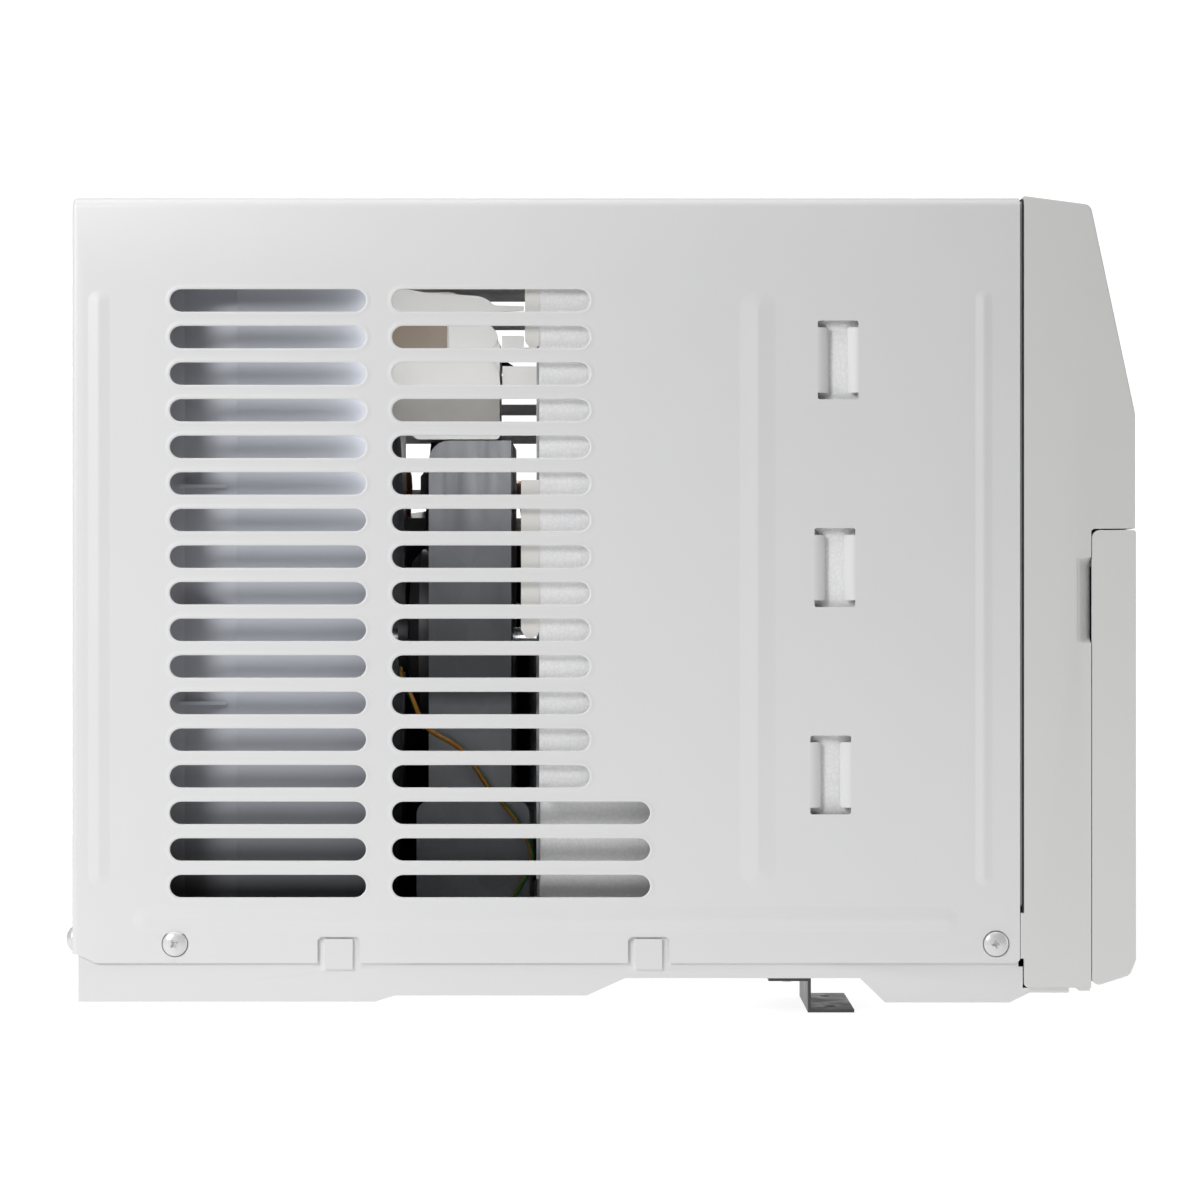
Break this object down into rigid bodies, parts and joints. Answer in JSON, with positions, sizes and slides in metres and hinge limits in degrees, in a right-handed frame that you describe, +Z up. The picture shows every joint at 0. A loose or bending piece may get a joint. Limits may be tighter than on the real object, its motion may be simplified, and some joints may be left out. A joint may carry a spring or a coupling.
{
  "type": "window air conditioner",
  "caption": "Window air conditioner: slotted white steel cabinet on a pan, plastic front with outlet louvres, control keys and a drop-down inlet grille, fans and sealed system inside.",
  "frame": {"origin": "centre of the footprint on the plane of the sill brackets' undersides", "axes": "+Z up, -Y out of the front (room side), +Y out of the back (outdoors), +X to the right seen from the room"},
  "size_m": [0.4804, 0.4887, 0.3735],
  "materials": {
    "cabinet_paint": "fine satin powder coat, white",
    "pan_paint": "satin paint, white",
    "front_plastic": "fine moulded texture, warm white",
    "grille_plastic": "fine moulded texture, warm white",
    "louvre_plastic": "moulded, light grey-white",
    "fascia_plastic": "dark panel",
    "button_plastic": "moulded key caps",
    "display": "smoked window",
    "screw_steel": "zinc plated and painted",
    "galvanised": "galvanised sheet",
    "bracket_paint": "grey coated sheet",
    "foam": "expanded polystyrene beads",
    "white_plastic": "white moulding",
    "shroud_plastic": "blue-grey moulding",
    "dark_plastic": "black moulding",
    "fan_plastic": "glass-filled moulding",
    "fins": "pressed fin pack",
    "copper": "drawn copper tube",
    "compressor_paint": "black enamel",
    "motor_shell": "dark enamel",
    "rubber": "moulded rubber",
    "wire_green": "green and yellow insulation",
    "wire_black": "sleeved leads",
    "shaft_steel": "ground steel",
    "capacitor_can": "drawn can",
    "board": "solder mask",
    "mesh": "woven filter mesh"
  },
  "bodies": {
    "root": {"base_pan": "pan_paint", "cabinet": "cabinet_paint", "rear_guard": "cabinet_paint", "front_frame": "front_plastic", "bulkhead": "galvanised", "foam_left": "foam", "foam_duct": "foam", "blower_scroll": "white_plastic", "evaporator_core": "fins", "evaporator_tubes": "copper", "drain_tray": "dark_plastic", "condenser_core": "fins", "condenser_tubes": "copper", "fan_shroud": "shroud_plastic", "compressor": "compressor_paint", "compressor_grommets": "rubber", "compressor_studs": "screw_steel", "accumulator": "compressor_paint", "terminal_cover": "dark_plastic", "discharge_pipe": "copper", "suction_pipe": "copper", "capillary_tube": "copper", "filter_drier": "copper", "fan_motor": "motor_shell", "motor_bracket": "galvanised", "wire_guide": "white_plastic", "control_box": "galvanised", "circuit_board": "board", "run_capacitor": "capacitor_can", "control_fascia": "fascia_plastic", "display_window": "display", "cord_gland": "rubber", "bottom_brackets": "bracket_paint", "cabinet_screws": "screw_steel", "bracket_screws": "screw_steel", "earth_wire": "wire_green", "wire_harness": "wire_black", "thermistor": "copper"},
    "rotor": {"motor_shaft": "shaft_steel", "condenser_fan": "fan_plastic", "blower_wheel": "fan_plastic"},
    "grille": {"inlet_grille": "grille_plastic", "filter_frame": "dark_plastic", "filter_mesh": "mesh"},
    "louvre_1": {"louvre_1": "louvre_plastic"},
    "louvre_2": {"louvre_2": "louvre_plastic"},
    "louvre_3": {"louvre_3": "louvre_plastic"},
    "louvre_link": {"louvre_link": "louvre_plastic"},
    "vane_1": {"vane_1": "louvre_plastic"},
    "vane_2": {"vane_2": "louvre_plastic"},
    "vane_3": {"vane_3": "louvre_plastic"},
    "vane_4": {"vane_4": "louvre_plastic"},
    "vane_5": {"vane_5": "louvre_plastic"},
    "vane_6": {"vane_6": "louvre_plastic"},
    "vane_link": {"vane_link": "louvre_plastic"},
    "button_power": {"button_power": "button_plastic"},
    "button_mode": {"button_mode": "button_plastic"},
    "button_fan": {"button_fan": "button_plastic"},
    "button_timer": {"button_timer": "button_plastic"},
    "temperature_rocker": {"temperature_rocker": "button_plastic"}
  },
  "joints": [
    {"name": "rotor_spin", "type": "hinge", "parent": "root", "child": "rotor", "pos_m": [-0.045, 0, 0.168], "axis": [0, 1, 0], "continuous": true},
    {"name": "grille_tilt", "type": "hinge", "parent": "root", "child": "grille", "pos_m": [0, -0.2285, 0.016], "axis": [1, 0, 0], "range_deg": [0, 60]},
    {"name": "louvre_1_tilt", "type": "hinge", "parent": "root", "child": "louvre_1", "pos_m": [0, -0.22685, 0.29166], "axis": [1, 0, 0], "range_deg": [-25, 25]},
    {"name": "louvre_2_tilt", "type": "hinge", "parent": "root", "child": "louvre_2", "pos_m": [0, -0.22172, 0.31579], "axis": [1, 0, 0], "range_deg": [-25, 25]},
    {"name": "louvre_3_tilt", "type": "hinge", "parent": "root", "child": "louvre_3", "pos_m": [0, -0.21659, 0.33992], "axis": [1, 0, 0], "range_deg": [-25, 25]},
    {"name": "louvre_link_turn", "type": "hinge", "parent": "louvre_1", "child": "louvre_link", "pos_m": [0.084, -0.21804, 0.28979], "axis": [1, 0, 0], "range_deg": [-25, 25]},
    {"name": "vane_1_swing", "type": "hinge", "parent": "root", "child": "vane_1", "pos_m": [-0.18633, -0.19531, 0.31018], "axis": [0, 0.2079, 0.9781], "range_deg": [-30, 30]},
    {"name": "vane_2_swing", "type": "hinge", "parent": "root", "child": "vane_2", "pos_m": [-0.135, -0.19531, 0.31018], "axis": [0, 0.2079, 0.9781], "range_deg": [-30, 30]},
    {"name": "vane_3_swing", "type": "hinge", "parent": "root", "child": "vane_3", "pos_m": [-0.08367, -0.19531, 0.31018], "axis": [0, 0.2079, 0.9781], "range_deg": [-30, 30]},
    {"name": "vane_4_swing", "type": "hinge", "parent": "root", "child": "vane_4", "pos_m": [-0.03233, -0.19531, 0.31018], "axis": [0, 0.2079, 0.9781], "range_deg": [-30, 30]},
    {"name": "vane_5_swing", "type": "hinge", "parent": "root", "child": "vane_5", "pos_m": [0.019, -0.19531, 0.31018], "axis": [0, 0.2079, 0.9781], "range_deg": [-30, 30]},
    {"name": "vane_6_swing", "type": "hinge", "parent": "root", "child": "vane_6", "pos_m": [0.07033, -0.19531, 0.31018], "axis": [0, 0.2079, 0.9781], "range_deg": [-30, 30]},
    {"name": "vane_link_turn", "type": "hinge", "parent": "vane_1", "child": "vane_link", "pos_m": [-0.18633, -0.19191, 0.28287], "axis": [0, 0.2079, 0.9781], "range_deg": [-30, 30]},
    {"name": "button_power_press", "type": "slide", "parent": "root", "child": "button_power", "axis": [0, 0.9781, -0.2079], "range_m": [0, 0.0012], "stiffness_N_per_m": 400},
    {"name": "button_mode_press", "type": "slide", "parent": "root", "child": "button_mode", "axis": [0, 0.9781, -0.2079], "range_m": [0, 0.0012], "stiffness_N_per_m": 400},
    {"name": "button_fan_press", "type": "slide", "parent": "root", "child": "button_fan", "axis": [0, 0.9781, -0.2079], "range_m": [0, 0.0012], "stiffness_N_per_m": 400},
    {"name": "button_timer_press", "type": "slide", "parent": "root", "child": "button_timer", "axis": [0, 0.9781, -0.2079], "range_m": [0, 0.0012], "stiffness_N_per_m": 400},
    {"name": "temperature_rock", "type": "hinge", "parent": "root", "child": "temperature_rocker", "pos_m": [0.179, -0.2361, 0.29431], "axis": [0, 0.2079, 0.9781], "range_deg": [-4, 4], "stiffness_Nm_per_rad": 0.1}
  ],
  "couplings": [
    {"joint": "louvre_2_tilt", "follows": "louvre_1_tilt", "ratio": 1},
    {"joint": "louvre_3_tilt", "follows": "louvre_1_tilt", "ratio": 1},
    {"joint": "louvre_link_turn", "follows": "louvre_1_tilt", "ratio": -1},
    {"joint": "vane_2_swing", "follows": "vane_1_swing", "ratio": 1},
    {"joint": "vane_3_swing", "follows": "vane_1_swing", "ratio": 1},
    {"joint": "vane_4_swing", "follows": "vane_1_swing", "ratio": 1},
    {"joint": "vane_5_swing", "follows": "vane_1_swing", "ratio": 1},
    {"joint": "vane_6_swing", "follows": "vane_1_swing", "ratio": 1},
    {"joint": "vane_link_turn", "follows": "vane_1_swing", "ratio": -1}
  ]
}
